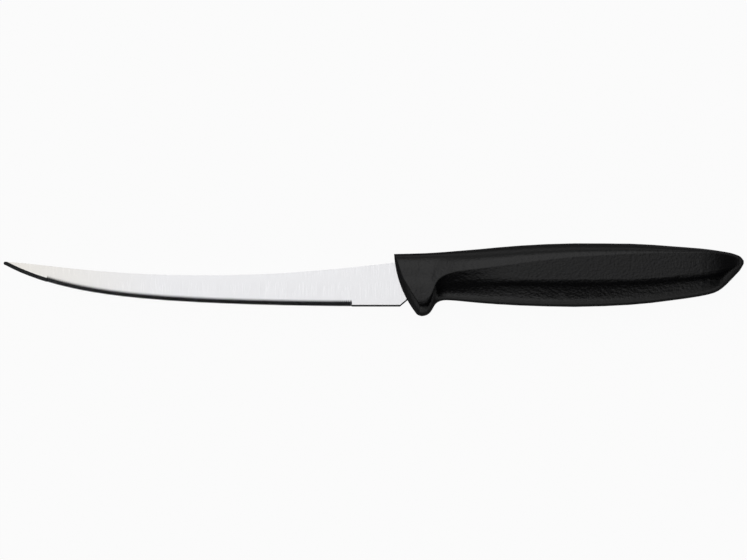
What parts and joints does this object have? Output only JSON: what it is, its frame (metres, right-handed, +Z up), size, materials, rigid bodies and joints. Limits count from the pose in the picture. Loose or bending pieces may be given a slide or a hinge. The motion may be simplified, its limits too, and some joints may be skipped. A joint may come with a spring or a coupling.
{
  "type": "tomato knife",
  "caption": "Tomato knife lying on its side: slim upswept stamped blade with a finely serrated edge, in a black moulded grip with a finger guard.",
  "frame": {"origin": "middle of the underside of the knife's bounding box, with the knife lying on the side of its handle", "axes": "-X towards the blade's point, +X towards the butt, +Y towards the spine, -Y towards the cutting edge, +Z up, out of the side of the blade that carries the serrations"},
  "size_m": [0.2379, 0.0234, 0.0134],
  "materials": {
    "blade_steel": "stainless sheet, satin ground across the blade, finely ground edge",
    "handle_plastic": "black injection-moulded polypropylene with a fine spark-eroded grain"
  },
  "bodies": {
    "root": {"blade": "blade_steel", "handle": "handle_plastic"}
  },
  "joints": []
}
